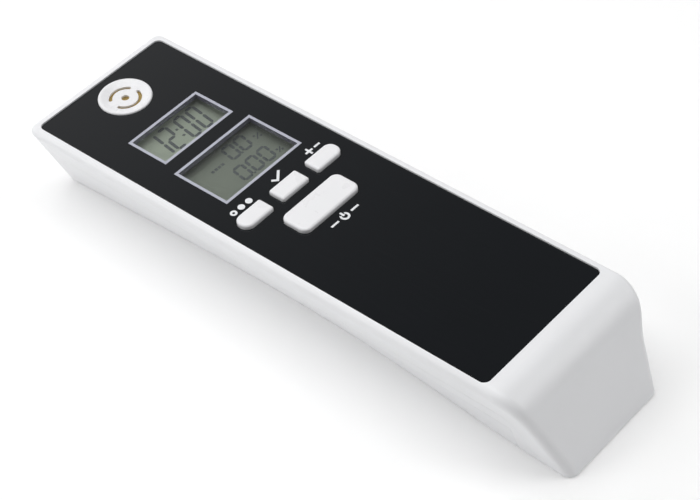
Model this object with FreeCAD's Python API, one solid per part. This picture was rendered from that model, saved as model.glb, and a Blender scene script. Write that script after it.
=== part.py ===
"""Handheld breath-alcohol tester with a clock: one solid per physical piece.

Millimetres. +Z is up out of the face panel, +Y points at the gas inlet (head), +X is the
reading direction of the displays. The origin is the middle of the flat underside.
"""

import FreeCAD, Part
import math
import os
from FreeCAD import Vector

# Case: outline seen from above, straight at the rim and the crease, waisted at the underside.
LENGTH = 120.6
DEPTH = 17.2
RIM_HALF = 17.7
CREASE_HALF = 15.1
CREASE_Z = 10.7
HEAD_Y = LENGTH / 2
TAIL_Y = -LENGTH / 2 - 0.27  # the foot of the tail before its edge is rounded
BASE_HALF_AT_Y = [(HEAD_Y, 10.8), (25.0, 9.45), (-2.0, 9.05), (-28.0, 10.2), (-48.0, 11.7), (-62.0, 12.2)]
HEAD_CORNER_R = 1.8
TAIL_LEAN = 26.0
TAIL_R = 7.0
WALL = 1.5
TAIL_SKIN = 2.3
RUN_PAST = 8.0
SECTION_Z = (-1.0, 3.0, 7.0, 9.5, CREASE_Z, 11.9, 14.0, DEPTH + 2.0)
CREASE_SOFTNESS = 1.0
RIM_EDGE_R = 0.9
TAIL_EDGE_R = 1.6
BASE_EDGE_R = 0.45

# Two heights closer than this are the same height.
TOUCH = 0.01

# Parting line between the two shells: level, then parallel to the tail face.
PARTING_CORNER_Y = -49.5
PARTING_BASE_Y = -54.74
PARTING_R = 3.5
SEAM = 0.08
LIP_H = 1.1
LIP_T = 0.6

# Face panel, sunk a little below the rim, and the deck it is stuck to.
PANEL_SINK = 0.3
PANEL_TOP = DEPTH - PANEL_SINK
PANEL_T = 1.0
PANEL_HALF_W = 15.75
PANEL_Y = (-45.93, 58.73)
PANEL_R = 1.3
PANEL_GAP = 0.05
DECK_T = 1.0
PRINT_T = 0.05
DECK_TOP = PANEL_TOP - PANEL_T
DECK_UNDER = DECK_TOP - DECK_T

# Display windows: centre x, centre y, clear width, clear height, printed line width.
CLOCK_WINDOW = (0.05, 37.3, 16.74, 8.54, 0.56)
RESULT_WINDOW = (0.1, 22.9, 18.74, 11.94, 0.56)
DECK_WINDOW_MARGIN = 1.0

# Gas inlet.
INLET_Y = 51.85
INLET_R = 5.15
INLET_RISE = 0.35
INLET_EDGE_R = 0.3
INLET_LIP_R = 4.5
INLET_LIP_ROUND = 0.8
INLET_FOOT_R = 3.3
INLET_PLATE_Z = (16.35, 16.75)
INLET_SLOT_R = (2.45, 3.15)
INLET_SLOTS = ((30.0, 142.0), (200.0, 348.0))
INLET_HOLE_R = 0.78
INLET_COLLAR_R = 4.15
SCREEN_R = 3.55
SCREEN_T = 0.2
SENSOR_TOP = 14.9
SENSOR_PIN_RING_R = 3.4
SENSOR_PIN_COUNT = 6

# Buttons: centre x, centre y, width, height, corner radii (left pair, right pair).
BUTTONS = {
    "mode": (-9.3, 10.4, 6.9, 3.6, 1.65, 0.45),
    "set": (0.0, 10.4, 6.9, 3.6, 0.4, 0.4),
    "adjust": (9.35, 10.4, 6.9, 3.6, 0.45, 1.65),
    "power": (0.0, 2.9, 14.75, 6.1, 1.55, 1.55),
}
BUTTON_RISE = 0.8
BUTTON_EDGE_R = 0.45
BUTTON_GAP = 0.15
FLANGE_Z = (14.05, 14.75)
FLANGE_LIP = 0.7
SWITCH_Y = {"mode": 10.4, "set": 10.4, "adjust": 10.4, "power": 4.75}

# Main board and what stands on it.
BOARD_Z = (9.4, 11.0)
BOARD_Y = (2.1, 57.2)
BOARD_HALF_W = 12.0
SWITCH_SIZE = 4.2
SWITCH_TOP = 13.2
PLUNGER_R = 1.2
PLUNGER_FIT = 0.05
LCD_Z = (12.95, DECK_UNDER - 0.05)
CLOCK_LCD_Y = (31.3, 43.4)
RESULT_LCD_Y = (15.3, 30.5)
LCD_HALF_W = 10.6
HOLDER_WALL = 0.9

# Display marks: digits lean to the right.
INK_T = 0.04
DIGIT_LEAN = 0.13
CLOCK_DIGIT_Y = 35.2
CLOCK_DIGIT_SIZE = (1.9, 6.4)
CLOCK_STROKE = 0.62
CLOCK_DIGIT_X = (-6.0, -2.95, 1.15, 4.3)
RESULT_DIGIT_SIZE = (2.05, 3.6)
RESULT_STROKE = 0.56
RESULT_ROWS = ((25.1, (0.9, 3.95), 3.3), (19.6, (-1.8, 1.3, 4.35), 0.75))

SEGMENTS = {
    "a": ((0, 1), (1, 1)), "b": ((1, 1), (1, 0.5)), "c": ((1, 0.5), (1, 0)), "d": ((0, 0), (1, 0)),
    "e": ((0, 0.5), (0, 0)), "f": ((0, 1), (0, 0.5)), "g": ((0, 0.5), (1, 0.5)),
}
LIT = {"0": "abcdef", "1": "bc", "2": "abdeg"}

# Marks printed beside the buttons: middle of each one.
MARK_STROKE = 0.42
MODE_MARK = (-8.85, 13.8)
SET_MARK = (0.6, 13.9)
ADJUST_MARK = (10.15, 13.8)
POWER_MARK = (0.3, -2.4)

# Screws.
CASE_SCREW = (5.5, 46.6)
CASE_SCREW_R = 1.0
CASE_HEAD_R = 1.9
CASE_SEAT_Z = 5.2
BOARD_SCREW = (10.2, 4.0)
BOARD_SCREW_R = 0.8
BOARD_HEAD_R = 1.6

# Battery bay: two AAA cells side by side.
CELL_R = 5.25
CELL_LENGTH = 43.7
CELL_X = 5.4
CELL_Z = 9.15
CELL_TAIL_Y = -45.2
NUB_R = 1.9
NUB_H = 0.8
CELL_SHIFT = 1.6
SPRING_R = (3.0, 1.6)
SPRING_WIRE_R = 0.3
BAY_HEAD_Y = 1.0
BAY_TAIL_Y = -48.0
RIB_T = 0.9

# Battery door: wraps the underside and the lower side walls.
DOOR_TOP_Z = 7.0
DOOR_HEAD_Y = -1.0
DOOR_HEAD_LEAN = 0.2
DOOR_TAIL_Y = -49.2
DOOR_GAP = 0.06
DOOR_RIB_Z = 3.6
TAB_X = 4.5
TAB_W = 3.0
TAB_REACH = 1.4
GRIP_Y = -4.0
GRIP_PITCH = 1.6
GRIP_COUNT = 5
GRIP_HALF_W = 4.5
GRIP_R = 0.9
GRIP_DEPTH = 0.35


def box(x, y, z):
    """A box from three (low, high) pairs."""
    return Part.makeBox(x[1] - x[0], y[1] - y[0], z[1] - z[0], Vector(x[0], y[0], z[0]))


def cylinder(radius, x, y, z):
    """An upright cylinder between the two heights in z."""
    return Part.makeCylinder(radius, z[1] - z[0], Vector(x, y, z[0]))


def ring(outer, inner, x, y, z):
    """An upright tube."""
    return cylinder(outer, x, y, z).cut(cylinder(inner, x, y, (z[0] - 1, z[1] + 1)))


def rounded_face(x, y, width, height, left_r, right_r):
    """A flat outline at height 0 with one radius for each end's corners."""
    left, right = x - width / 2, x + width / 2
    low, high = y - height / 2, y + height / 2
    corners = [
        (right - right_r, high - right_r, right_r, 0),
        (left + left_r, high - left_r, left_r, 90),
        (left + left_r, low + left_r, left_r, 180),
        (right - right_r, low + right_r, right_r, 270),
    ]
    arcs = []
    for cx, cy, radius, start in corners:
        turns = [math.radians(start + step) for step in (0, 45, 90)]
        arcs.append([Vector(cx + radius * math.cos(a), cy + radius * math.sin(a), 0) for a in turns])
    edges = []
    for here, after in zip(arcs, arcs[1:] + arcs[:1]):
        edges.append(Part.Arc(*here).toShape())
        if here[2].distanceToPoint(after[0]) > 1e-6:
            edges.append(Part.LineSegment(here[2], after[0]).toShape())
    return Part.Face(Part.Wire(edges))


def rounded_block(x, y, width, height, left_r, right_r, z):
    """An upright prism on a rounded outline."""
    face = rounded_face(x, y, width, height, left_r, right_r)
    face.translate(Vector(0, 0, z[0]))
    return face.extrude(Vector(0, 0, z[1] - z[0]))


def polygon_prism(points, height):
    """A prism on a polygon, swept along height."""
    wire = Part.makePolygon(points + points[:1])
    return Part.Face(wire).extrude(height)


def chain(points):
    """Edges through a closed list of YZ points; a point with a radius is a rounded corner."""
    edges = []
    count = len(points)
    starts = []
    ends = []
    for index, (y, z, radius) in enumerate(points):
        here = Vector(0, y, z)
        before = Vector(0, *points[index - 1][:2]) - here
        after = Vector(0, *points[(index + 1) % count][:2]) - here
        half = before.getAngle(after) / 2
        run = radius / math.tan(half)
        starts.append(here + before.normalize() * run)
        ends.append(here + after.normalize() * run)
        if radius > 0:
            bisector = (before + after).normalize()
            middle = here + bisector * (radius / math.sin(half) - radius)
            edges.append((index, Part.Arc(starts[-1], middle, ends[-1]).toShape()))
    loop = []
    arcs = dict(edges)
    for index in range(count):
        if index in arcs:
            loop.append(arcs[index])
        loop.append(Part.LineSegment(ends[index], starts[(index + 1) % count]).toShape())
    return loop


def across(points, reach=RIM_HALF + RUN_PAST):
    """A prism that runs the full width of the case on an outline in the YZ plane."""
    face = Part.Face(Part.Wire(chain(points)))
    face.translate(Vector(-reach, 0, 0))
    return face.extrude(Vector(2 * reach, 0, 0))


def half_width(base_half, z, inset):
    """Half the case's width at height z, over a place where the underside has this half width."""
    slope_up = (RIM_HALF - CREASE_HALF) / (DEPTH - CREASE_Z)
    slope_down = (CREASE_HALF - base_half) / CREASE_Z
    past = z - CREASE_Z
    past_crease = (past + math.hypot(past, CREASE_SOFTNESS)) / 2
    wall = inset * math.hypot(1, (slope_up + slope_down) / 2)
    return base_half + slope_down * z + (slope_up - slope_down) * past_crease - wall


def plan_wire(z, inset):
    """The case's outline seen from above at one height: rounded at the head, square at the tail."""
    head_y = HEAD_Y - inset
    corner_r = max(HEAD_CORNER_R - inset, HEAD_CORNER_R / 4)
    halves = [(y, half_width(base_half, z, inset)) for y, base_half in BASE_HALF_AT_Y]
    first = halves[0][1]
    left = [Vector(-first, head_y - corner_r, z)]
    left += [Vector(-half, y, z) for y, half in halves[1:]]
    right = [Vector(-p.x, p.y, p.z) for p in reversed(left)]
    diagonal = corner_r * (1 - math.sqrt(0.5))
    sides = []
    corners = []
    for sign, points in ((-1, left), (1, right)):
        curve = Part.BSplineCurve()
        curve.interpolate(points)
        sides.append(curve.toShape())
        corners.append(Part.Arc(
            Vector(sign * first, head_y - corner_r, z),
            Vector(sign * (first - diagonal), head_y - diagonal, z),
            Vector(sign * (first - corner_r), head_y, z),
        ))
    tail_end = Part.LineSegment(left[-1], right[0])
    head_end = Part.LineSegment(corners[1].EndPoint, corners[0].EndPoint)
    order = [corners[0].toShape(), sides[0], tail_end.toShape(), sides[1], corners[1].toShape()]
    return Part.Wire(order + [head_end.toShape()])


def tail_y_at(z, inset=0.0):
    """Where the tail face stands at height z, moved inwards by inset square to the face."""
    lean = math.radians(TAIL_LEAN)
    return TAIL_Y + z * math.tan(lean) + inset / math.cos(lean)


def side_profile(inset=0.0, skin=0.0):
    """The case's outline from the side: inset at the underside, skin at the top and the tail."""
    top = DEPTH - skin
    return across([
        (HEAD_Y + RUN_PAST, inset, 0),
        (HEAD_Y + RUN_PAST, top, 0),
        (tail_y_at(top, skin), top, TAIL_R - skin),
        (tail_y_at(inset, skin), inset, 0),
    ])


def envelope(inset=0.0, skin=0.0):
    """The closed form of the case, or of its inside when inset and skin are its walls."""
    sections = [plan_wire(z, inset) for z in SECTION_Z]
    return Part.makeLoft(sections, True, False, False, 2).common(side_profile(inset, skin))


def below_parting(lift=0.0):
    """Everything under the parting line, raised by lift."""
    return across([
        (HEAD_Y + RUN_PAST, CREASE_Z + lift, 0),
        (PARTING_CORNER_Y, CREASE_Z + lift, PARTING_R),
        (PARTING_BASE_Y, lift, 0),
        (PARTING_BASE_Y, -RUN_PAST, 0),
        (HEAD_Y + RUN_PAST, -RUN_PAST, 0),
    ])


def edges_where(shape, wanted):
    """The edges of a shape whose middle point passes a test."""
    found = []
    for edge in shape.Edges:
        span = edge.LastParameter - edge.FirstParameter
        if wanted(edge.valueAt(edge.FirstParameter + span / 2), edge):
            found.append(edge)
    return found


def circles_at(shape, radius, z):
    """The round edges of one radius at one height, on a shape that stands on the Z axis."""
    found = []
    for edge in shape.Edges:
        if edge.Curve.TypeId == "Part::GeomCircle" and abs(edge.Curve.Radius - radius) < TOUCH:
            if abs(edge.Curve.Center.z - z) < TOUCH:
                found.append(edge)
    return found


def rounded(form, radii):
    """A solid with rounded edges: radii lists an edge's number and its radius at each end."""
    document = FreeCAD.newDocument("rounding")
    base = document.addObject("Part::Feature", "base")
    base.Shape = form
    fillet = document.addObject("Part::Fillet", "fillet")
    fillet.Base = base
    fillet.Edges = radii
    document.recompute()
    shape = fillet.Shape.copy()
    FreeCAD.closeDocument(document.Name)
    return shape


def outer_form():
    """The outside of the closed case: a tight rim and foot, and softer edges beside the tail."""
    form = envelope()
    arc_foot_z = min(vertex.Z for vertex in form.Vertexes if vertex.Z > CREASE_Z)
    rim, arcs, tail, foot = [], [], [], []
    for number, edge in enumerate(form.Edges, 1):
        middle = edge.valueAt((edge.FirstParameter + edge.LastParameter) / 2)
        beside_tail = middle.y < PANEL_Y[0] and abs(middle.x) > CREASE_HALF / 2
        if abs(middle.z - DEPTH) < TOUCH and middle.y > PANEL_Y[0]:
            rim.append((number, RIM_EDGE_R, RIM_EDGE_R))
        elif beside_tail and middle.z > arc_foot_z:
            arcs.append((number, TAIL_EDGE_R, RIM_EDGE_R))
        elif abs(middle.z) < TOUCH:
            foot.append((number, BASE_EDGE_R, BASE_EDGE_R))
        elif beside_tail:
            tail.append((number, TAIL_EDGE_R, TAIL_EDGE_R))
    return rounded(form, rim + arcs + tail + foot)


def window_hole(window, grow, z):
    """A rectangular prism on a display window, grown on every side."""
    x, y, width, height, _ = window
    half_w, half_h = width / 2 + grow, height / 2 + grow
    return box((x - half_w, x + half_w), (y - half_h, y + half_h), z)


def button_prism(name, grow, z):
    """A prism on a button's outline, grown on every side."""
    x, y, width, height, left_r, right_r = BUTTONS[name]
    return rounded_block(
        x, y, width + 2 * grow, height + 2 * grow, left_r + grow, right_r + grow, z)


def face_holes(z, window_margin, inlet_r):
    """Every opening through the face: windows, buttons and gas inlet."""
    holes = [window_hole(window, window_margin, z) for window in (CLOCK_WINDOW, RESULT_WINDOW)]
    holes += [button_prism(name, BUTTON_GAP, z) for name in BUTTONS]
    return holes + [cylinder(inlet_r + PANEL_GAP, 0, INLET_Y, z)]


def panel_block(grow, z):
    """A prism on the face panel's outline."""
    low, high = PANEL_Y
    width, height = 2 * (PANEL_HALF_W + grow), high - low + 2 * grow
    return rounded_block(0, (low + high) / 2, width, height, PANEL_R, PANEL_R, z)


def face_panel():
    """Black panel with its windows and holes."""
    panel = panel_block(0.0, (DECK_TOP + 0.02, PANEL_TOP))
    return panel.cut(face_holes((0, DEPTH), 0.0, INLET_R))


def mirrored_pair(x, y, shape_at):
    """The same thing at +x and -x, as two shapes."""
    return [shape_at(x, y), shape_at(-x, y)]


def top_shell(outer, inner):
    """Deck, rim and tail wall, with a groove for the lower shell's lip and two kinds of post."""
    shell = outer.cut(below_parting()).cut(inner)
    groove_form = envelope(WALL - LIP_T - SEAM, TAIL_SKIN - LIP_T - SEAM)
    shell = shell.cut(groove_form.common(below_parting(LIP_H + SEAM)))
    shell = shell.cut(panel_block(PANEL_GAP, (DECK_TOP, DEPTH + 1)))
    shell = shell.cut(face_holes((DECK_UNDER - 1, DEPTH), DECK_WINDOW_MARGIN, INLET_COLLAR_R))
    post_z = (BOARD_Z[1] + 0.05, DECK_UNDER + 0.2)
    posts = mirrored_pair(*CASE_SCREW, lambda x, y: ring(2.0, CASE_SCREW_R + 0.02, x, y, post_z))
    posts += mirrored_pair(*BOARD_SCREW, lambda x, y: ring(1.7, BOARD_SCREW_R + 0.02, x, y, post_z))
    return shell.fuse(posts).removeSplitter()


def door_region(grow):
    """The space that the battery door takes up, grown on every free side."""
    top = DOOR_TOP_Z + grow
    return across([
        (DOOR_TAIL_Y - grow, -RUN_PAST, 0),
        (DOOR_TAIL_Y - grow, top, 0),
        (DOOR_HEAD_Y + grow - DOOR_HEAD_LEAN * top, top, 0),
        (DOOR_HEAD_Y + grow + DOOR_HEAD_LEAN * RUN_PAST, -RUN_PAST, 0),
    ])


def bottom_shell(outer, inner):
    """Lower tub: open under the cells, with a lip, two bosses, two bay walls and door sockets."""
    tub = outer.common(below_parting(-SEAM)).cut(inner)
    lip_form = envelope(WALL - LIP_T, TAIL_SKIN - LIP_T).cut(envelope(WALL, TAIL_SKIN))
    lip_reach = below_parting(LIP_H).cut(below_parting(-SEAM - 0.3))
    tub = tub.fuse(lip_form.common(lip_reach)).cut(door_region(DOOR_GAP))
    bay_half = CELL_X + CELL_R
    ribs = []
    for y in (BAY_HEAD_Y, BAY_TAIL_Y - RIB_T):
        low = box((-bay_half + 2, bay_half - 2), (y, y + RIB_T), (DOOR_RIB_Z, CREASE_Z))
        high = box((-RIM_HALF, RIM_HALF), (y, y + RIB_T), (DOOR_TOP_Z + 0.5, CREASE_Z))
        ribs.append(low.fuse(high).common(inner))
    rib_y = (BAY_HEAD_Y, BAY_HEAD_Y + RIB_T)
    floor_rib = box((-bay_half + 3, bay_half - 3), rib_y, (WALL - 0.2, DOOR_RIB_Z))
    boss_z = (WALL - 0.2, BOARD_Z[0] - 0.05)
    bosses = mirrored_pair(*CASE_SCREW, lambda x, y: cylinder(2.8, x, y, boss_z))
    tub = tub.fuse(ribs + [floor_rib] + bosses).removeSplitter()
    for x in (CASE_SCREW[0], -CASE_SCREW[0]):
        tub = tub.cut(cylinder(CASE_HEAD_R + 0.2, x, CASE_SCREW[1], (-1, CASE_SEAT_Z)))
        tub = tub.cut(cylinder(CASE_SCREW_R + 0.1, x, CASE_SCREW[1], (0, BOARD_Z[1])))
    return tub


def battery_door(outer, inner):
    """The cover under the cells: it wraps up the side walls and has two tabs and a thumb grip."""
    door = outer.common(door_region(0)).cut(inner)
    tabs = []
    for x in (-TAB_X - TAB_W / 2, TAB_X - TAB_W / 2):
        span = (x, x + TAB_W)
        hook = box(span, (DOOR_TAIL_Y - TAB_REACH, DOOR_TAIL_Y + 1), (WALL + 0.1, WALL + 1.1))
        root = box(span, (DOOR_TAIL_Y + 0.2, DOOR_TAIL_Y + 1), (WALL - 0.2, WALL + 1.1))
        tabs.append(hook.fuse(root))
    door = door.fuse(tabs).removeSplitter()
    for step in range(GRIP_COUNT):
        start = Vector(-GRIP_HALF_W, GRIP_Y - step * GRIP_PITCH, -GRIP_R + GRIP_DEPTH)
        groove = Part.makeCylinder(GRIP_R, 2 * GRIP_HALF_W, start, Vector(1, 0, 0))
        door = door.cut(groove)
    return door


def door_pad():
    """Foam strip stuck inside the door that keeps the cells from rattling."""
    return box((-6.0, 6.0), (-35.0, -12.0), (WALL + 0.05, CELL_Z - CELL_R - 0.15))


def window_lens(window):
    """Clear lens let flush into the face panel."""
    return window_hole(window, -PANEL_GAP, (DECK_TOP + 0.02, PANEL_TOP))


def window_print(window):
    """Printed line round a window, on top of the panel."""
    z = (PANEL_TOP, PANEL_TOP + PRINT_T)
    return window_hole(window, window[4], z).cut(window_hole(window, 0.0, (z[0] - 1, z[1] + 1)))


def inlet_slot(start, end, z):
    """A curved slot between two angles in degrees, with round ends."""
    inner, outer = INLET_SLOT_R
    sweep = Part.makeCylinder(outer, z[1] - z[0], Vector(0, 0, z[0]), Vector(0, 0, 1), end - start)
    sweep.rotate(Vector(), Vector(0, 0, 1), start)
    middle = (inner + outer) / 2
    turns = [math.radians(angle) for angle in (start, end)]
    ends = [cylinder((outer - inner) / 2, middle * math.cos(a), middle * math.sin(a), z) for a in turns]
    return sweep.cut(cylinder(inner, 0, 0, z)).fuse(ends)


def gas_inlet():
    """White dish with a slotted floor, pushed into the panel from above."""
    rim_z = PANEL_TOP + INLET_RISE
    seat_z = DECK_TOP + 0.02
    low, high = INLET_PLATE_Z
    outline = [(0, low), (INLET_COLLAR_R, low), (INLET_COLLAR_R, seat_z), (INLET_R, seat_z)]
    outline += [(INLET_R, rim_z), (INLET_LIP_R, rim_z), (INLET_FOOT_R, high), (0, high)]
    half = [Vector(radius, 0, z) for radius, z in outline]
    body = Part.Face(Part.makePolygon(half + half[:1])).revolve(Vector(), Vector(0, 0, 1), 360)
    body = body.makeFillet(INLET_LIP_ROUND, circles_at(body, INLET_LIP_R, rim_z))
    body = body.makeFillet(INLET_EDGE_R, circles_at(body, INLET_R, rim_z))
    collar_z = (SENSOR_TOP + 0.5, low + 0.1)
    body = body.fuse(ring(INLET_COLLAR_R, SCREEN_R + PANEL_GAP, 0, 0, collar_z))
    through = (low - 1, high + 1)
    body = body.cut([inlet_slot(start, end, through) for start, end in INLET_SLOTS])
    body = body.cut(cylinder(INLET_HOLE_R, 0, 0, through))
    body.translate(Vector(0, INLET_Y, 0))
    return body


def inlet_screen():
    """Woven disc that keeps dust out, under the inlet's slots."""
    top = INLET_PLATE_Z[0] - 0.02
    return cylinder(SCREEN_R, 0, INLET_Y, (top - SCREEN_T, top))


def sensor_pin_places():
    """Where the sensor's pins stand on the board."""
    turns = [math.radians(30 + 360 * step / SENSOR_PIN_COUNT) for step in range(SENSOR_PIN_COUNT)]
    ring_r = SENSOR_PIN_RING_R
    return [(ring_r * math.cos(turn), INLET_Y + ring_r * math.sin(turn)) for turn in turns]


def sensor_parts():
    """Gas sensor: base with pins, plated can, woven cap and the foam ring that seals it."""
    base_top = BOARD_Z[1] + 0.7
    base = cylinder(4.8, 0, INLET_Y, (BOARD_Z[1] + 0.02, base_top))
    can = cylinder(4.4, 0, INLET_Y, (base_top, SENSOR_TOP)).cut(
        cylinder(4.1, 0, INLET_Y, (base_top - 1, SENSOR_TOP - 0.3)))
    can = can.cut(cylinder(3.4, 0, INLET_Y, (base_top, SENSOR_TOP + 1)))
    cap = cylinder(4.0, 0, INLET_Y, (SENSOR_TOP - 0.7, SENSOR_TOP - 0.32))
    seal = ring(INLET_COLLAR_R - 0.05, 3.3, 0, INLET_Y, (SENSOR_TOP + 0.02, SENSOR_TOP + 0.48))
    pin_z = (BOARD_Z[0] - 1.0, BOARD_Z[1])
    pins = [cylinder(0.3, x, y, pin_z) for x, y in sensor_pin_places()]
    return {"sensor_base": base, "sensor_can": can, "sensor_cap": cap, "sensor_seal": seal,
            "sensor_pins": Part.makeCompound(pins)}


def lcd_glass(span_y):
    """Liquid-crystal cell: a rear plate with a contact ledge and a shorter front plate."""
    low, high = span_y
    middle = (LCD_Z[0] + LCD_Z[1]) / 2
    rear = box((-LCD_HALF_W, LCD_HALF_W), (low, high), (LCD_Z[0], middle))
    front = box((-LCD_HALF_W, LCD_HALF_W), (low, high - 1.0), (middle, LCD_Z[1]))
    return rear.fuse(front)


def lcd_holder():
    """Frame that holds both displays under their windows."""
    z = (BOARD_Z[1] + 0.05, DECK_UNDER - 0.15)
    wall = HOLDER_WALL
    half = LCD_HALF_W + 0.1
    frame = box((-half - wall, half + wall), (RESULT_LCD_Y[0] - 0.1 - wall, CLOCK_LCD_Y[1] + 0.1 + wall), z)
    for low, high in (RESULT_LCD_Y, CLOCK_LCD_Y):
        frame = frame.cut(box((-half, half), (low - 0.1, high + 0.1), (z[0] + 0.6, z[1] + 1)))
        frame = frame.cut(box((-half + 1.6, half - 1.6), (low + 1.5, high + 0.1), (z[0] - 1, z[1] + 1)))
    return frame


def connector_strip(span_y):
    """Elastomer strip that joins a display's ledge to the board."""
    high = span_y[1] - 0.1
    return box((-8.5, 8.5), (high - 1.6, high), (BOARD_Z[1] + 0.02, LCD_Z[0] - 0.02))


def backlight(span_y):
    """Light-guide plate under a display."""
    return box((-8.6, 8.6), (span_y[0] + 1.7, span_y[1] - 2.2), (BOARD_Z[1] + 0.9, LCD_Z[0] - 0.05))


def bar(start, end, stroke, z):
    """One display segment: a bar with pointed ends."""
    along = (end - start).normalize()
    side = Vector(-along.y, along.x, 0) * (stroke / 2)
    gap = along * (stroke * 0.12)
    tip = along * (stroke / 2)
    low, high = start + gap, end - gap
    points = [low, low + tip + side, high - tip + side, high, high - tip - side, low + tip - side]
    return polygon_prism([p + Vector(0, 0, z) for p in points], Vector(0, 0, INK_T))


def digit(character, x, y, size, stroke):
    """A leaning seven-segment digit with its lower left corner at x, y."""
    width, height = size
    bars = []
    for name in LIT[character]:
        ends = []
        for across_, up in SEGMENTS[name]:
            ends.append(Vector(x + width * across_ + height * up * DIGIT_LEAN, y + height * up, 0))
        bars.append(bar(ends[0], ends[1], stroke, LCD_Z[1]))
    return bars


def ink_square(x, y, size):
    """A square mark on a display's front glass."""
    return box((x - size / 2, x + size / 2), (y - size / 2, y + size / 2), (LCD_Z[1], LCD_Z[1] + INK_T))


def clock_digits():
    """Twelve o'clock, with its colon."""
    marks = []
    for character, x in zip("1200", CLOCK_DIGIT_X):
        marks += digit(character, x, CLOCK_DIGIT_Y, CLOCK_DIGIT_SIZE, CLOCK_STROKE)
    for y in (37.2, 39.3):
        marks.append(ink_square(0.1 + (y - CLOCK_DIGIT_Y) * DIGIT_LEAN, y, 0.5))
    return Part.makeCompound(marks)


def percent_sign(x, y, size):
    """Two squares and a slanting bar."""
    start, end = Vector(x, y, 0), Vector(x + size, y + size, 0)
    slash = bar(start, end, 0.28, LCD_Z[1])
    return [slash, ink_square(x + 0.2, y + size - 0.25, 0.42), ink_square(x + size - 0.2, y + 0.25, 0.42)]


def result_digits():
    """Two rows of noughts with decimal points, unit marks and a plain bar symbol."""
    marks = []
    for row_y, columns, point_x in RESULT_ROWS:
        for x in columns:
            marks += digit("0", x, row_y, RESULT_DIGIT_SIZE, RESULT_STROKE)
        marks.append(ink_square(point_x, row_y, 0.4))
    marks += percent_sign(7.6, 25.3, 1.4)
    marks += percent_sign(7.4, 19.6, 1.2)
    for step in range(4):
        x = -4.1 + step * 0.85
        marks.append(box((x, x + 0.6), (25.5, 26.1), (LCD_Z[1], LCD_Z[1] + INK_T)))
    return Part.makeCompound(marks)


def main_board():
    """Circuit board with holes for the screws and notches beside the bay."""
    board = box((-BOARD_HALF_W, BOARD_HALF_W), BOARD_Y, BOARD_Z)
    long_edges = edges_where(board, lambda middle, edge: abs(middle.z - sum(BOARD_Z) / 2) < TOUCH)
    board = board.makeFillet(1.5, long_edges)
    for x, y in (CASE_SCREW, BOARD_SCREW):
        for hole in mirrored_pair(x, y, lambda hx, hy: cylinder(1.3, hx, hy, (0, DEPTH))):
            board = board.cut(hole)
    for x, y in sensor_pin_places():
        board = board.cut(cylinder(0.4, x, y, (0, DEPTH)))
    return board


def controller():
    """Flat chip with four rows of legs, under the board."""
    x, y, half = 0.0, 22.0, 3.5
    z = (BOARD_Z[0] - 1.3, BOARD_Z[0] - 0.15)
    body = box((x - half, x + half), (y - half, y + half), z)
    legs = []
    for step in range(-4, 5):
        offset = step * 0.7
        for side in (-1, 1):
            near, far = sorted((side * (half - 0.1), side * (half + 0.9)))
            leg_z = (BOARD_Z[0] - 0.3, BOARD_Z[0] - 0.02)
            legs.append(box((x + near, x + far), (y + offset - 0.15, y + offset + 0.15), leg_z))
            legs.append(box((x + offset - 0.15, x + offset + 0.15), (y + near, y + far), leg_z))
    return body.fuse(legs).removeSplitter()


def crystal():
    """Quartz can lying under the board."""
    can = Part.makeCylinder(1.0, 6.0, Vector(6.5, 27.0, BOARD_Z[0] - 1.05), Vector(0, 1, 0))
    return can.makeFillet(0.3, can.Edges[:1])


def small_parts():
    """Rows of chip resistors and capacitors under the board."""
    chips = []
    for row, x in enumerate((-8.5, 8.5)):
        for step in range(7):
            y = 10.0 + step * 2.2 + row * 0.6
            size = 1.6 if step % 3 else 2.0
            z = (BOARD_Z[0] - 0.35 * size, BOARD_Z[0] - 0.02)
            chips.append(box((x - size / 2, x + size / 2), (y - 0.45, y + 0.45), z))
    return Part.makeCompound(chips)


def buzzer():
    """Round sounder under the board, with its sound hole."""
    can = cylinder(4.5, 0, 35.5, (BOARD_Z[0] - 4.2, BOARD_Z[0] - 0.02))
    foot = edges_where(can, lambda middle, edge: abs(middle.z - (BOARD_Z[0] - 4.2)) < TOUCH)
    return can.makeFillet(0.4, foot).cut(cylinder(0.7, 0, 35.5, (0, BOARD_Z[0] - 3.6)))


def switch_body(name):
    """Tactile switch: a square housing with a well for its plunger."""
    x, y = BUTTONS[name][0], SWITCH_Y[name]
    half = SWITCH_SIZE / 2
    housing = box((x - half, x + half), (y - half, y + half), (BOARD_Z[1] + 0.02, SWITCH_TOP))
    well = cylinder(PLUNGER_R + PLUNGER_FIT, x, y, (BOARD_Z[1] + 0.6, SWITCH_TOP + 1))
    legs = []
    for side in (-1, 1):
        near, far = sorted((side * (half - 0.2), side * (half + 0.5)))
        for offset in (-1.2, 1.2):
            legs.append(box((x + near, x + far), (y + offset - 0.25, y + offset + 0.25),
                            (BOARD_Z[1] + 0.02, BOARD_Z[1] + 0.22)))
    return housing.fuse(legs).removeSplitter().cut(well)


def plunger(name):
    """The stem of a tactile switch, which a button rests on."""
    x, y = BUTTONS[name][0], SWITCH_Y[name]
    return cylinder(PLUNGER_R, x, y, (SWITCH_TOP - 1.0, FLANGE_Z[0] - 0.02))


def button(name):
    """A key cap with rounded top edges and a flange that keeps it under the deck."""
    top = PANEL_TOP + BUTTON_RISE
    cap = button_prism(name, 0.0, (FLANGE_Z[1] - 0.2, top))
    cap = cap.makeFillet(BUTTON_EDGE_R, edges_where(cap, lambda middle, edge: abs(middle.z - top) < TOUCH))
    return cap.fuse(button_prism(name, FLANGE_LIP, FLANGE_Z)).removeSplitter()


def disc_mark(outer, inner, x, y):
    """A printed disc or ring."""
    z = (PANEL_TOP, PANEL_TOP + PRINT_T)
    return ring(outer, inner, x, y, z) if inner else cylinder(outer, x, y, z)


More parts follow.
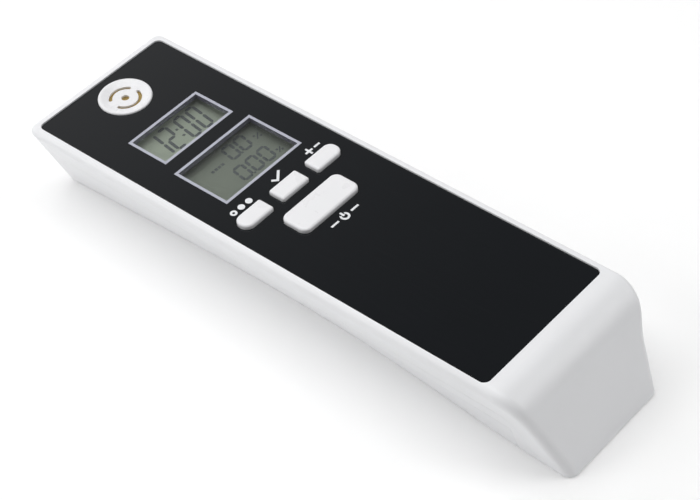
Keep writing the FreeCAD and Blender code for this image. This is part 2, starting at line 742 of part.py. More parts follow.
def bar_mark(x, y, width, height):
    """A printed rectangle centred on x, y."""
    z = (PANEL_TOP, PANEL_TOP + PRINT_T)
    return box((x - width / 2, x + width / 2), (y - height / 2, y + height / 2), z)


def mode_mark():
    """Three page dots, the first one hollow."""
    x, y = MODE_MARK
    dot_r, pitch = 0.68, 1.95
    dots = [disc_mark(dot_r, dot_r - MARK_STROKE, x - pitch, y)]
    return Part.makeCompound(dots + [disc_mark(dot_r, 0, x + step * pitch, y) for step in (0, 1)])


def set_mark():
    """A tick."""
    x, y = SET_MARK
    points = [(-1.5, 0.0), (-0.5, -1.0), (1.65, 0.85), (1.3, 1.2), (-0.5, -0.35), (-1.15, 0.35)]
    return polygon_prism([Vector(x + px, y + py, PANEL_TOP) for px, py in points], Vector(0, 0, PRINT_T))


def adjust_mark():
    """A plus and a minus."""
    x, y = ADJUST_MARK
    size, offset = 1.8, 1.05
    plus = bar_mark(x - offset, y, size, MARK_STROKE).fuse(bar_mark(x - offset, y, MARK_STROKE, size))
    return Part.makeCompound([plus.removeSplitter(), bar_mark(x + offset, y, size * 0.8, MARK_STROKE)])


def power_mark():
    """An open ring with a bar in its gap, between two dashes."""
    x, y = POWER_MARK
    ring_r = 0.95
    gap = bar_mark(x, y + ring_r, 2.6 * MARK_STROKE, ring_r)
    marks = [disc_mark(ring_r, ring_r - MARK_STROKE, x, y).cut(gap)]
    marks.append(bar_mark(x, y + 0.7 * ring_r, MARK_STROKE, 1.1 * ring_r))
    marks += [bar_mark(x + side * 2.6, y, 1.9, MARK_STROKE) for side in (-1, 1)]
    return Part.makeCompound(marks)


def cross_recess(x, y, z):
    """The cross in a screw head, as a cutting tool."""
    arm, blade = 1.1, 0.35
    return box((x - arm, x + arm), (y - blade / 2, y + blade / 2), z).fuse(
        box((x - blade / 2, x + blade / 2), (y - arm, y + arm), z))


def screw(x, y, head_r, shank_r, head_z, tip_z):
    """A pan-head screw driven upwards from below."""
    head = cylinder(head_r, x, y, head_z)
    head = head.makeFillet(0.4, edges_where(head, lambda middle, edge: abs(middle.z - head_z[0]) < TOUCH))
    body = head.fuse(cylinder(shank_r, x, y, (head_z[1] - 0.2, tip_z))).removeSplitter()
    return body.cut(cross_recess(x, y, (head_z[0] - 1, head_z[0] + 0.6)))


def screws():
    """Two screws that close the case and two that hold the board."""
    named = {}
    for side, sign in (("right", 1), ("left", -1)):
        x, y = CASE_SCREW
        named["case_screw_" + side] = screw(
            sign * x, y, CASE_HEAD_R, CASE_SCREW_R, (CASE_SEAT_Z - 1.6, CASE_SEAT_Z), 14.0)
        x, y = BOARD_SCREW
        named["board_screw_" + side] = screw(
            sign * x, y, BOARD_HEAD_R, BOARD_SCREW_R, (BOARD_Z[0] - 1.1, BOARD_Z[0] - 0.02), 13.6)
    return named


def cell(x, tail_y, nub_at_head):
    """An AAA cell lying along Y."""
    can = Part.makeCylinder(CELL_R, CELL_LENGTH, Vector(x, tail_y, CELL_Z), Vector(0, 1, 0))
    ends = [edge for edge in can.Edges if edge.Closed and edge.Curve.TypeId.endswith("Circle")]
    can = can.makeFillet(0.4, ends)
    nub_y = tail_y + CELL_LENGTH - 0.2 if nub_at_head else tail_y - NUB_H
    nub = Part.makeCylinder(NUB_R, NUB_H + 0.2, Vector(x, nub_y, CELL_Z), Vector(0, 1, 0))
    return can.fuse(nub).removeSplitter()


def cone_spring(x, base_y, tip_y):
    """A wire spring that narrows from its contact plate towards the cell."""
    height = abs(tip_y - base_y)
    turns = 3
    narrowing = math.degrees(math.atan2(SPRING_R[0] - SPRING_R[1], height))
    path = Part.makeHelix(height / turns, height, SPRING_R[1], narrowing)
    start = path.Edges[0].valueAt(path.Edges[0].FirstParameter)
    circle = Part.Wire(Part.makeCircle(SPRING_WIRE_R, start, Vector(0, 1, 0)))
    wire = Part.Wire(path.Edges).makePipeShell([circle], True, True)
    wire.rotate(Vector(), Vector(1, 0, 0), 90 if tip_y > base_y else -90)
    wire.translate(Vector(x, tip_y, CELL_Z))
    return wire


def contacts():
    """Sprung and flat contacts of the two cells, which face opposite ways."""
    tall = (CELL_Z - 3.6, CELL_Z + 3.2)
    tail_y = (BAY_TAIL_Y + 0.02, BAY_TAIL_Y + 0.32)
    head_y = (BAY_HEAD_Y - 0.32, BAY_HEAD_Y - 0.02)
    bridge = box((-CELL_X - 3.4, CELL_X + 3.4), tail_y, (CELL_Z - 2.0, CELL_Z + 2.0))
    named = {"tail_contact": bridge}
    for name, x in (("positive", -CELL_X), ("negative", CELL_X)):
        plate = box((x - 3.2, x + 3.2), head_y, tall)
        over = box((x - 1.0, x + 1.0), (head_y[0], BOARD_Y[0] + 1.2), (tall[1] - 0.3, tall[1]))
        named[name + "_contact"] = plate.fuse(over).removeSplitter()
    dimple_h = head_y[0] - (CELL_TAIL_Y + CELL_LENGTH + NUB_H) - 0.02
    start = Vector(-CELL_X, head_y[0] + 0.1, CELL_Z)
    dimple = Part.makeCylinder(1.5, dimple_h + 0.1, start, Vector(0, -1, 0))
    named["positive_contact"] = named["positive_contact"].fuse(dimple).removeSplitter()
    named["tail_spring"] = cone_spring(-CELL_X, tail_y[1] + 0.3, CELL_TAIL_Y - 0.35)
    negative_y = CELL_TAIL_Y + CELL_LENGTH - CELL_SHIFT
    named["head_spring"] = cone_spring(CELL_X, head_y[0] - 0.3, negative_y + 0.35)
    return named


def build():
    """Every piece of the tester, by node name."""
    outer = outer_form()
    inner = envelope(WALL, TAIL_SKIN)
    nodes = {
        "top_shell": top_shell(outer, inner),
        "bottom_shell": bottom_shell(outer, inner),
        "battery_door": battery_door(outer, inner),
        "door_pad": door_pad(),
        "face_panel": face_panel(),
        "clock_window": window_lens(CLOCK_WINDOW),
        "result_window": window_lens(RESULT_WINDOW),
        "clock_frame_print": window_print(CLOCK_WINDOW),
        "result_frame_print": window_print(RESULT_WINDOW),
        "mode_mark": mode_mark(),
        "set_mark": set_mark(),
        "adjust_mark": adjust_mark(),
        "power_mark": power_mark(),
        "gas_inlet": gas_inlet(),
        "inlet_screen": inlet_screen(),
        "clock_lcd": lcd_glass(CLOCK_LCD_Y),
        "result_lcd": lcd_glass(RESULT_LCD_Y),
        "clock_digits": clock_digits(),
        "result_digits": result_digits(),
        "lcd_holder": lcd_holder(),
        "clock_connector": connector_strip(CLOCK_LCD_Y),
        "result_connector": connector_strip(RESULT_LCD_Y),
        "clock_backlight": backlight(CLOCK_LCD_Y),
        "result_backlight": backlight(RESULT_LCD_Y),
        "main_board": main_board(),
        "controller": controller(),
        "crystal": crystal(),
        "small_parts": small_parts(),
        "buzzer": buzzer(),
        "cell_left": cell(-CELL_X, CELL_TAIL_Y, True),
        "cell_right": cell(CELL_X, CELL_TAIL_Y - CELL_SHIFT, False),
    }
    nodes.update(sensor_parts())
    nodes.update(screws())
    nodes.update(contacts())
    for name in BUTTONS:
        nodes[name + "_button"] = button(name)
        nodes[name + "_plunger"] = plunger(name)
        nodes[name + "_switch"] = switch_body(name)
    return nodes


if __name__ == "__main__":
    os.makedirs("parts", exist_ok=True)
    for node, shape in build().items():
        if not shape.isValid() or shape.Volume <= 0:
            raise ValueError(node + " is not a sound solid")
        shape.exportStep("parts/" + node + ".step")
        print(node, len(shape.Solids), round(shape.Volume, 1))
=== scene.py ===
import math

import bmesh
import bpy
from mathutils import Matrix, Vector


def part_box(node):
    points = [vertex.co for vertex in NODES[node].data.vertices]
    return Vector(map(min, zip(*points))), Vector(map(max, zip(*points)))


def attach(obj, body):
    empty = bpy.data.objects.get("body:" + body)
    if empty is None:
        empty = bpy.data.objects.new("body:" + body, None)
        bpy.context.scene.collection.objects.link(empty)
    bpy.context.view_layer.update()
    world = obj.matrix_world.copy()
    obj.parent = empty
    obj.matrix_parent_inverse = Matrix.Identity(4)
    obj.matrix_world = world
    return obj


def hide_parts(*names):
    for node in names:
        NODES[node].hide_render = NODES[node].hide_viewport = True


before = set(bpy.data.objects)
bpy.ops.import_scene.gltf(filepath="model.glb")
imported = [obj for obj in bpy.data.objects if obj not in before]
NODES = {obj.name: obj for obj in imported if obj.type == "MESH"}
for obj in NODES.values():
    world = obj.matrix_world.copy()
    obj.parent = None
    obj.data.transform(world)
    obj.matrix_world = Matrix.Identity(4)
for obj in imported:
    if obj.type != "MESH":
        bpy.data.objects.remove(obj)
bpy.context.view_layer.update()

MM = 0.001

# ---------------------------------------------------------------- camera and studio

# Places and sizes are in metres. Only the camera's lens and sensor are in millimetres.
CAMERA_PLACE = Vector((-178.5, -181.4, 259.2)) * MM
CAMERA_AIM = Vector((-5.5, -8.55, 16.9)) * MM
CAMERA_ROLL = math.radians(5.94)
CAMERA_LENS = 103.8
CAMERA_SENSOR = 36.0
CAMERA_CLIP = 10 * MM

# The floor lies just below the underside, so that the two faces never coincide.
FLOOR_SIZE = 4.0
FLOOR_Z = -0.02 * MM
PAPER_WHITE = (0.92, 0.92, 0.92)
TABLE_GLOW = 0.1

# The surround grows brighter towards this direction, from its dim to its bright strength, over
# this span of the cosine.
BRIGHT_SIDE = (0.0, 0.867, -0.499)
SURROUND_STRENGTH = (0.19, 1.0)
SURROUND_SPAN = (0.0, 0.5)

# Soft lights: place and edge length in metres, and power in watts.
LIGHTS = {
    "above": ((0.0, 0.08, 0.35), 0.3, 0.74),
    "left_head": ((-0.40, 0.25, 0.28), 0.3, 0.74),
    "tail_right": ((0.35, -0.45, 0.45), 0.4, 1.45),
}


def make_camera():
    """A long lens above the left of the tail that looks down at the middle of the case."""
    data = bpy.data.cameras.new("camera")
    data.lens = CAMERA_LENS
    data.sensor_width = CAMERA_SENSOR
    data.clip_start = CAMERA_CLIP
    camera = bpy.data.objects.new("camera", data)
    bpy.context.scene.collection.objects.link(camera)
    view = (CAMERA_AIM - CAMERA_PLACE).normalized()
    turn = Matrix.Rotation(CAMERA_ROLL, 4, view)
    look = view.to_track_quat("-Z", "Y").to_matrix().to_4x4()
    camera.matrix_world = Matrix.Translation(CAMERA_PLACE) @ turn @ look
    bpy.context.scene.camera = camera


def area_light(name, place, size, power):
    """A square soft light that points at the origin and isn't seen itself."""
    data = bpy.data.lights.new(name, "AREA")
    data.shape = "SQUARE"
    data.size = size
    data.energy = power
    lamp = bpy.data.objects.new(name, data)
    bpy.context.scene.collection.objects.link(lamp)
    lamp.location = place
    lamp.visible_camera = False
    lamp.rotation_euler = (-Vector(place)).to_track_quat("-Z", "Y").to_euler()


def make_world():
    """A white surround that is brighter beyond the head than beyond the tail."""
    world = bpy.data.worlds.new("surround")
    bpy.context.scene.world = world
    world.use_nodes = True
    tree = world.node_tree
    background = tree.nodes["Background"]
    background.inputs["Color"].default_value = (1.0, 1.0, 1.0, 1.0)
    direction = tree.nodes.new("ShaderNodeTexCoord")
    towards = tree.nodes.new("ShaderNodeVectorMath")
    towards.operation = "DOT_PRODUCT"
    towards.inputs[1].default_value = BRIGHT_SIDE
    tree.links.new(direction.outputs["Generated"], towards.inputs[0])
    strength = tree.nodes.new("ShaderNodeMapRange")
    strength.interpolation_type = "SMOOTHSTEP"
    for side, (low, high) in (("From", SURROUND_SPAN), ("To", SURROUND_STRENGTH)):
        strength.inputs[side + " Min"].default_value = low
        strength.inputs[side + " Max"].default_value = high
    tree.links.new(towards.outputs["Value"], strength.inputs["Value"])
    tree.links.new(strength.outputs["Result"], background.inputs["Strength"])


def make_studio():
    """A pale floor, the surround and the soft lights."""
    make_world()
    for name, (place, size, power) in LIGHTS.items():
        area_light(name, place, size, power)
    bpy.context.scene.view_settings.view_transform = "Standard"
    half = FLOOR_SIZE / 2
    mesh = bpy.data.meshes.new("floor")
    corners = [(-half, -half), (half, -half), (half, half), (-half, half)]
    mesh.from_pydata([(x, y, FLOOR_Z) for x, y in corners], [], [(0, 1, 2, 3)])
    floor = bpy.data.objects.new("floor", mesh)
    bpy.context.scene.collection.objects.link(floor)
    floor.data.materials.append(paper())


# ---------------------------------------------------------------- materials

# Most of a noise texture's values lie in this span.
NOISE_SPAN = (0.3, 0.7)

# The face panel and its windows. A face turns from floor to wall as its normal's height, from
# 0 to 1, falls through the last span.
PANEL_BLACK = (0.0030, 0.0040, 0.0055)
PANEL_VARIATION = 1.3
PANEL_ROUGHNESS = (0.035, 0.11)
PANEL_WEAR_SPAN = (0.45, 0.75)
WINDOW_WALL = (0.085, 0.08, 0.125)
WINDOW_WALL_ROUGHNESS = 0.6
WINDOW_WALL_FADE = 0.1 * MM
WALL_LEVEL_SPAN = (0.4, 0.6)

# Clear acrylic: how much it mirrors seen straight on, and Schlick's power towards the edge.
PANE_MIRROR = (0.95, 0.96, 0.96)
PANE_TINT = (0.93, 0.94, 0.93)
PANE_STRAIGHT_ON = 0.04
SCHLICK_POWER = 5.0

# The displays.
CLOCK_GLASS = (0.46, 0.505, 0.425)
RESULT_GLASS = (0.25, 0.275, 0.235)
GLASS_HAZE = (0.2, 0.2, 0.2)
GLASS_HAZE_AMOUNT = 0.12

# The circuit board. The traces are the joints of a brick pattern: its units per metre, the width
# of a joint in those units, and how light every other brick is.
RESIST_GREEN = (0.01, 0.07, 0.025)
TRACE_GREEN = (0.03, 0.17, 0.06)
TRACE_SCALE = 420.0
TRACE_WIDTH = 0.06
PAD_SHADE = 0.25

# The sensor's mesh and the foam: pitch of the cells, colours, and how far a hole reaches.
MESH_PITCH = MM / 2.6
MESH_HOLE = (0.03, 0.02, 0.01)
MESH_BRASS = (0.5, 0.36, 0.14)
MESH_HOLE_EDGE = (0.2, 0.42)
FOAM_PITCH = MM / 2.2
FOAM_PORE = (0.015, 0.015, 0.017)
FOAM_WALL = (0.1, 0.1, 0.105)
FOAM_PORE_EDGE = (0.15, 0.6)

# A battery cell: bare steel at the positive tip (0), then bands up to the other tip (1), each
# with the place where it starts.
STEEL_TIP = (0.62, 0.6, 0.56)
SLEEVE_BLACK = (0.03, 0.03, 0.034)
SLEEVE_BANDS = (
    (0.03, (0.62, 0.28, 0.12)),
    (0.22, (0.7, 0.7, 0.7)),
    (0.235, SLEEVE_BLACK),
    (0.975, STEEL_TIP),
)
SLEEVE_DULL = (0.12, 0.12, 0.12)
SLEEVE_DULL_AMOUNT = 0.25

# The rubber connectors' layers.
ZEBRA_RUBBER = (0.62, 0.5, 0.52)
ZEBRA_CARBON = (0.03, 0.03, 0.03)
ZEBRA_SCALE = 900.0


class Surface:
    """A material and short ways to add nodes to it. Lengths in its textures are in metres."""

    def __init__(self, name, color, **sockets):
        self.material = bpy.data.materials.new(name)
        self.material.use_nodes = True
        self.tree = self.material.node_tree
        self.shader = self.tree.nodes["Principled BSDF"]
        self.output = self.tree.nodes["Material Output"]
        self.shader.inputs["Base Color"].default_value = (*color, 1.0)
        for socket, value in sockets.items():
            self.shader.inputs[socket.replace("_", " ")].default_value = value
        self.color = color
        self.place = self.add("ShaderNodeTexCoord").outputs["Object"]

    def add(self, kind, **properties):
        """A new node with the given properties."""
        node = self.tree.nodes.new(kind)
        for key, value in properties.items():
            setattr(node, key, value)
        return node

    def plug(self, value, socket):
        """Links an output to a socket, or sets the socket's value."""
        if isinstance(value, bpy.types.NodeSocket):
            self.tree.links.new(value, socket)
        else:
            socket.default_value = value

    def paint(self, color):
        """Sets the base colour from an output."""
        self.plug(color, self.shader.inputs["Base Color"])

    def roughen(self, roughness):
        """Sets the roughness from an output."""
        self.plug(roughness, self.shader.inputs["Roughness"])

    def split(self, vector):
        """The X, Y and Z outputs of a vector."""
        node = self.add("ShaderNodeSeparateXYZ")
        self.plug(vector, node.inputs[0])
        return node.outputs

    def maths(self, operation, *values):
        """The result of one operation on one or two values."""
        node = self.add("ShaderNodeMath", operation=operation)
        for value, socket in zip(values, node.inputs):
            self.plug(value, socket)
        return node.outputs[0]

    def noise(self, size, detail=2.0, stretch=(1, 1, 1)):
        """Noise whose features are about size metres across."""
        mapping = self.add("ShaderNodeMapping")
        self.plug(self.place, mapping.inputs["Vector"])
        mapping.inputs["Scale"].default_value = stretch
        node = self.add("ShaderNodeTexNoise")
        self.plug(mapping.outputs[0], node.inputs["Vector"])
        node.inputs["Scale"].default_value = 1.0 / size
        node.inputs["Detail"].default_value = detail
        return node.outputs["Fac"]

    def cells(self, pitch, randomness=1.0):
        """Distance from the middle of cells that lie about pitch metres apart."""
        node = self.add("ShaderNodeTexVoronoi")
        self.plug(self.place, node.inputs["Vector"])
        node.inputs["Scale"].default_value = 1.0 / pitch
        node.inputs["Randomness"].default_value = randomness
        return node.outputs["Distance"]

    def ramp(self, value, low, high, from_low=0.0, from_high=1.0):
        """value mapped from one range to another."""
        node = self.add("ShaderNodeMapRange")
        self.plug(value, node.inputs["Value"])
        node.inputs["From Min"].default_value = from_low
        node.inputs["From Max"].default_value = from_high
        self.plug(low, node.inputs["To Min"])
        self.plug(high, node.inputs["To Max"])
        return node.outputs["Result"]

    def patches(self, noise, low, high):
        """Noise spread over the range from low to high."""
        return self.ramp(noise, low, high, *NOISE_SPAN)

    def mix(self, value, low, high):
        """A colour between low and high."""
        node = self.add("ShaderNodeMix", data_type="RGBA")
        self.plug(value, node.inputs["Factor"])
        for socket, color in ((node.inputs[6], low), (node.inputs[7], high)):
            self.plug((*color, 1.0) if isinstance(color, tuple) else color, socket)
        return node.outputs[2]

    def mottle(self, size, amount):
        """Slight unevenness of the base colour."""
        dark = tuple(c * (1 - amount) for c in self.color)
        light = tuple(min(1.0, c * (1 + amount)) for c in self.color)
        self.paint(self.mix(self.patches(self.noise(size, detail=3.0), 0.0, 1.0), dark, light))

    def uneven_gloss(self, noise, roughness, less, more):
        """Roughness that wanders with a noise, from less below its value to more above it."""
        self.roughen(self.patches(noise, roughness - less, roughness + more))

    def bump(self, height, depth):
        """Relief from a height, depth metres deep."""
        node = self.add("ShaderNodeBump")
        node.inputs["Distance"].default_value = depth
        self.plug(height, node.inputs["Height"])
        self.plug(node.outputs["Normal"], self.shader.inputs["Normal"])


def paper():
    """The studio floor: white paper that glows a little, as if its table were lit from below."""
    surface = Surface("studio_paper", PAPER_WHITE, Roughness=0.9,
                      Emission_Color=(1.0, 1.0, 1.0, 1.0), Emission_Strength=TABLE_GLOW)
    surface.bump(surface.noise(4 * MM), depth=0.05 * MM)
    return surface.material


def moulded(name, color, roughness, grain=0.22 * MM, depth=0.003 * MM):
    """Moulded plastic with a fine spark-eroded grain."""
    surface = Surface(name, color, Specular_IOR_Level=0.45)
    surface.mottle(size=12 * MM, amount=0.01)
    surface.uneven_gloss(surface.noise(3 * MM, detail=4.0), roughness, less=0.05, more=0.06)
    surface.bump(surface.noise(grain, detail=3.0), depth)
    return surface.material


def window_walls(surface):
    """One on the upright walls of the display openings, and nought elsewhere."""
    facing = surface.split(surface.add("ShaderNodeNewGeometry").outputs["Normal"])
    wall = surface.ramp(surface.maths("ABSOLUTE", facing["Z"]), 1.0, 0.0, *WALL_LEVEL_SPAN)
    along = surface.split(surface.place)["Y"]
    low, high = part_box("result_frame_print")[0].y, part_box("clock_frame_print")[1].y
    from_tail = surface.ramp(along, 0.0, 1.0, low - WINDOW_WALL_FADE, low)
    from_head = surface.ramp(along, 1.0, 0.0, high, high + WINDOW_WALL_FADE)
    return surface.maths("MULTIPLY", surface.maths("MULTIPLY", wall, from_tail), from_head)


def acrylic_black():
    """The glossy printed face panel: near-black, with hairline wear and frosted window edges."""
    surface = Surface("panel_acrylic_look", PANEL_BLACK, IOR=1.47)
    lighter = tuple(PANEL_VARIATION * c for c in PANEL_BLACK)
    patch = surface.mix(surface.noise(20 * MM, detail=3.0), PANEL_BLACK, lighter)
    wall = window_walls(surface)
    surface.paint(surface.mix(wall, patch, WINDOW_WALL))
    hairlines = surface.noise(0.6 * MM, stretch=(1.0, 0.06, 1.0))
    wear = surface.ramp(hairlines, *PANEL_ROUGHNESS, *PANEL_WEAR_SPAN)
    surface.roughen(surface.ramp(wall, wear, WINDOW_WALL_ROUGHNESS))
    surface.bump(surface.noise(9 * MM, detail=1.0), depth=0.004 * MM)
    return surface.material


def clear_pane():
    """Clear acrylic: mirrors by Schlick's form of Fresnel and lets the rest through."""
    surface = Surface("clear_acrylic_look", PANE_MIRROR, Metallic=1.0)
    surface.uneven_gloss(surface.noise(4 * MM, detail=4.0), roughness=0.04, less=0.02, more=0.03)
    edge_on = surface.add("ShaderNodeLayerWeight").outputs["Facing"]
    mirror = surface.ramp(surface.maths("POWER", edge_on, SCHLICK_POWER), PANE_STRAIGHT_ON, 1.0)
    clear = surface.add("ShaderNodeBsdfTransparent")
    clear.inputs["Color"].default_value = (*PANE_TINT, 1.0)
    both = surface.add("ShaderNodeMixShader")
    surface.plug(mirror, both.inputs[0])
    surface.plug(clear.outputs[0], both.inputs[1])
    surface.plug(surface.shader.outputs[0], both.inputs[2])
    surface.plug(both.outputs[0], surface.output.inputs["Surface"])
    return surface.material


def display_glass():
    """Grey-green reflective displays over a hazy foil; the clock's is paler than the other."""
    surface = Surface("lcd_glass_look", CLOCK_GLASS, Roughness=0.3, IOR=1.5, Metallic=0.5)
    result_end, clock_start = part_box("result_lcd")[1].y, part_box("clock_lcd")[0].y
    which = surface.ramp(surface.split(surface.place)["Y"], 0.0, 1.0, result_end, clock_start)
    tone = surface.mix(which, RESULT_GLASS, CLOCK_GLASS)
    haze = surface.patches(surface.noise(6 * MM, detail=3.0), 0.0, GLASS_HAZE_AMOUNT)
    surface.paint(surface.mix(haze, tone, GLASS_HAZE))
    surface.bump(surface.noise(0.12 * MM, detail=3.0), depth=0.004 * MM)
    return surface.material


def ink(name, color, roughness=0.5):
    """Printed ink with slightly uneven coverage."""
    surface = Surface(name, color)
    surface.mottle(size=0.8 * MM, amount=0.06)
    surface.uneven_gloss(surface.noise(0.8 * MM, detail=4.0), roughness, less=0.06, more=0.06)
    surface.bump(surface.noise(0.1 * MM), depth=0.002 * MM)
    return surface.material


def metal(name, color, roughness):
    """Plated or drawn metal with faint tool marks."""
    surface = Surface(name, color, Metallic=1.0)
    surface.mottle(size=3 * MM, amount=0.06)
    marks = surface.noise(0.3 * MM, detail=3.0)
    surface.uneven_gloss(marks, roughness, less=0.06, more=0.1)
    surface.bump(marks, depth=0.004 * MM)
    return surface.material


def circuit_green():
    """Solder resist over copper traces: the traces stand a little proud and look lighter."""
    surface = Surface("circuit_board_look", RESIST_GREEN, Roughness=0.3, IOR=1.5)
    brick = surface.add("ShaderNodeTexBrick")
    surface.plug(surface.place, brick.inputs["Vector"])
    brick.inputs["Scale"].default_value = TRACE_SCALE
    brick.inputs["Mortar Size"].default_value = TRACE_WIDTH
    for socket, shade in (("Color1", 0.0), ("Color2", PAD_SHADE), ("Mortar", 1.0)):
        brick.inputs[socket].default_value = (shade, shade, shade, 1.0)
    surface.paint(surface.mix(brick.outputs["Color"], RESIST_GREEN, TRACE_GREEN))
    surface.bump(brick.outputs["Color"], depth=0.02 * MM)
    return surface.material


def mesh_metal():
    """Brass pierced by a square grid of fine holes."""
    surface = Surface("sensor_mesh_look", MESH_BRASS, Roughness=0.35, Metallic=1.0)
    web = surface.ramp(surface.cells(MESH_PITCH, randomness=0.0), 0.0, 1.0, *MESH_HOLE_EDGE)
    surface.paint(surface.mix(web, MESH_HOLE, MESH_BRASS))
    surface.bump(web, depth=0.05 * MM)
    return surface.material


def foam_grey():
    """Fine closed-cell foam."""
    surface = Surface("foam_look", FOAM_WALL, Roughness=0.95, Sheen_Weight=0.3)
    walls = surface.ramp(surface.cells(FOAM_PITCH), 0.0, 1.0, *FOAM_PORE_EDGE)
    surface.paint(surface.mix(walls, FOAM_PORE, FOAM_WALL))
    surface.bump(walls, depth=0.12 * MM)
    return surface.material


def cell_sleeve():
    """A battery sleeve: dark, with a copper band at the positive end and bare steel tips."""
    surface = Surface("cell_sleeve_look", SLEEVE_BLACK, Roughness=0.3, Metallic=0.7)
    (low, high), (other_low, other_high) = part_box("cell_left"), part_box("cell_right")
    place = surface.split(surface.place)
    from_left_tip = surface.ramp(place["Y"], 1.0, 0.0, low.y, high.y)
    from_right_tip = surface.ramp(place["Y"], 0.0, 1.0, other_low.y, other_high.y)
    on_right = surface.maths("GREATER_THAN", place["X"], 0.0)
    bands = surface.add("ShaderNodeValToRGB")
    bands.color_ramp.interpolation = "CONSTANT"
    stops = bands.color_ramp.elements
    stops.remove(stops[1])
    stops[0].color = (*STEEL_TIP, 1.0)
    for start, color in SLEEVE_BANDS:
        stops.new(start).color = (*color, 1.0)
    surface.plug(surface.ramp(on_right, from_left_tip, from_right_tip), bands.inputs[0])
    dull = surface.patches(surface.noise(1.5 * MM, detail=3.0), 0.0, SLEEVE_DULL_AMOUNT)
    surface.paint(surface.mix(dull, bands.outputs[0], SLEEVE_DULL))
    surface.bump(surface.noise(2.5 * MM), depth=0.01 * MM)
    return surface.material


def zebra():
    """A rubber connector: thin conducting layers between insulating ones."""
    surface = Surface("elastomer_look", ZEBRA_RUBBER, Roughness=0.7)
    wave = surface.add("ShaderNodeTexWave", wave_type="BANDS", bands_direction="X")
    surface.plug(surface.place, wave.inputs["Vector"])
    wave.inputs["Scale"].default_value = ZEBRA_SCALE
    surface.paint(surface.mix(wave.outputs["Fac"], ZEBRA_CARBON, ZEBRA_RUBBER))
    surface.bump(wave.outputs["Fac"], depth=0.01 * MM)
    return surface.material


LOOKS = {
    "case_plastic": moulded("case_plastic_look", (0.80, 0.805, 0.82), 0.36),
    "door_plastic": moulded("door_plastic_look", (0.79, 0.795, 0.81), 0.40),
    "button_plastic": moulded("button_plastic_look", (0.80, 0.80, 0.815), 0.30,
                              grain=0.2 * MM, depth=0.001 * MM),
    "panel_acrylic": acrylic_black(),
    "clear_acrylic": clear_pane(),
    "frame_ink": ink("frame_ink_look", (0.42, 0.43, 0.50)),
    "symbol_ink": ink("symbol_ink_look", (0.75, 0.76, 0.78)),
    "lcd_glass": display_glass(),
    "lcd_ink": ink("lcd_ink_look", (0.085, 0.095, 0.105), 0.3),
    "holder_plastic": moulded("holder_plastic_look", (0.07, 0.07, 0.09), 0.5),
    "elastomer": zebra(),
    "light_guide": moulded("light_guide_look", (0.75, 0.8, 0.7), 0.25),
    "circuit_board": circuit_green(),
    "chip_resin": moulded("chip_resin_look", (0.02, 0.02, 0.022), 0.6),
    "chip_ceramic": moulded("chip_ceramic_look", (0.32, 0.24, 0.16), 0.5),
    "tin_plate": metal("tin_plate_look", (0.72, 0.72, 0.70), 0.3),
    "spring_steel": metal("spring_steel_look", (0.6, 0.6, 0.6), 0.25),
    "screw_steel": metal("screw_steel_look", (0.5, 0.5, 0.52), 0.35),
    "sensor_brass": metal("sensor_brass_look", (0.55, 0.38, 0.14), 0.3),
    "sensor_mesh": mesh_metal(),
    "sensor_resin": moulded("sensor_resin_look", (0.05, 0.05, 0.05), 0.5),
    "foam": foam_grey(),
    "switch_resin": moulded("switch_resin_look", (0.03, 0.03, 0.03), 0.5),
    "switch_stem": moulded("switch_stem_look", (0.6, 0.6, 0.58), 0.4),
    "buzzer_resin": moulded("buzzer_resin_look", (0.02, 0.02, 0.02), 0.45),
    "cell_sleeve": cell_sleeve(),
}


def dress_nodes():
    """Each CAD node takes the look of its material slot in the record."""
    for node in NODES.values():
        for slot in node.material_slots:
            slot.material = LOOKS[slot.material.name]


# ---------------------------------------------------------------- foam pieces

# The door's pad: rounding of its edges and rise of its crown, as shares of its thickness.
PAD_EDGE_SHARE = 0.35
PAD_CROWN_SHARE = 0.12
PAD_CUTS = 23

# The sensor's ring: the exponent makes its section squarer than an ellipse.
RING_HALF_WIDTH = 0.41 * MM
RING_EXPONENT = 0.6
RING_AROUND, RING_ACROSS = 96, 20

# Points nearer than this coincide.
SAME_PLACE = 1e-9


def place_piece(name, mesh, body, node, slot):
    """A finished mesh as a piece that rides on a body and stands for a CAD node."""
    piece = bpy.data.objects.new(name, mesh)
    bpy.context.scene.collection.objects.link(piece)
    mesh.materials.append(LOOKS[slot])
    mesh.polygons.foreach_set("use_smooth", [True] * len(mesh.polygons))
    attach(piece, body)
    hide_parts(node)
    return piece


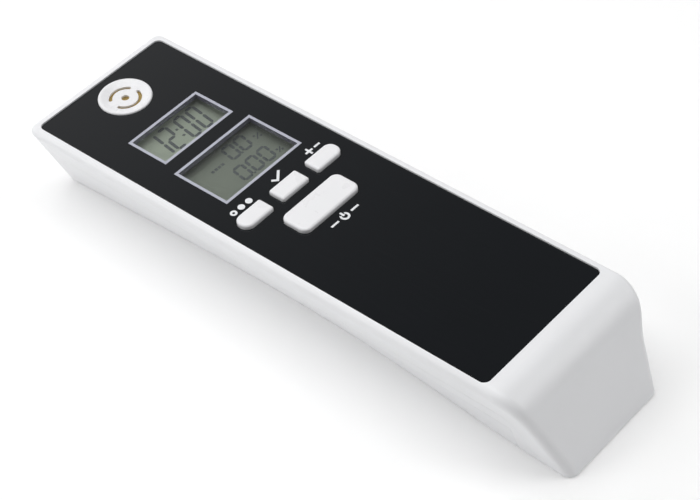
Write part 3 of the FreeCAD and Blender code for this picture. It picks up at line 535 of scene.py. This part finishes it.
def foam_pad():
    """The strip inside the battery door: a crowned block whose edges are pressed round."""
    low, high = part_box("door_pad")
    size, middle = high - low, (low + high) / 2
    edge = PAD_EDGE_SHARE * size.z
    grid = bmesh.new()
    bmesh.ops.create_cube(grid, size=2.0)
    bmesh.ops.subdivide_edges(grid, edges=grid.edges[:], cuts=PAD_CUTS, use_grid_fill=True)
    for vertex in grid.verts:
        unit = vertex.co.copy()
        out = Vector(unit[k] * size[k] / 2 for k in range(3))
        core = Vector(max(-size[k] / 2 + edge, min(size[k] / 2 - edge, out[k])) for k in range(3))
        away = out - core
        if away.length > SAME_PLACE:
            out = core + away.normalized() * edge
        crown = (1 - unit.x ** 4) * (1 - unit.y ** 4)
        out.z *= 1 - PAD_CROWN_SHARE + PAD_CROWN_SHARE * crown
        vertex.co = middle + out
    mesh = bpy.data.meshes.new("door_foam")
    grid.to_mesh(mesh)
    grid.free()
    place_piece("door_foam", mesh, "door", "door_pad", "foam")


def foam_ring():
    """The ring that seals the sensor to the inlet: a soft tube of squarish section."""
    low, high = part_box("sensor_seal")
    middle = (low + high) / 2
    ring_radius = (high.x - low.x) / 2 - RING_HALF_WIDTH
    half_height = (high.z - low.z) / 2
    verts, faces = [], []
    for i in range(RING_AROUND):
        turn = math.tau * i / RING_AROUND
        here, after = i * RING_ACROSS, (i + 1) % RING_AROUND * RING_ACROSS
        for k in range(RING_ACROSS):
            angle = math.tau * k / RING_ACROSS
            round_section = (math.cos(angle), math.sin(angle))
            across, up = (math.copysign(abs(v) ** RING_EXPONENT, v) for v in round_section)
            radius = ring_radius + RING_HALF_WIDTH * across
            verts.append((middle.x + radius * math.cos(turn), middle.y + radius * math.sin(turn),
                          middle.z + half_height * up))
            next_k = (k + 1) % RING_ACROSS
            faces.append((here + k, after + k, after + next_k, here + next_k))
    mesh = bpy.data.meshes.new("sensor_foam")
    mesh.from_pydata(verts, [], faces)
    place_piece("sensor_foam", mesh, "case", "sensor_seal", "foam")


make_camera()
make_studio()
dress_nodes()
foam_pad()
foam_ring()
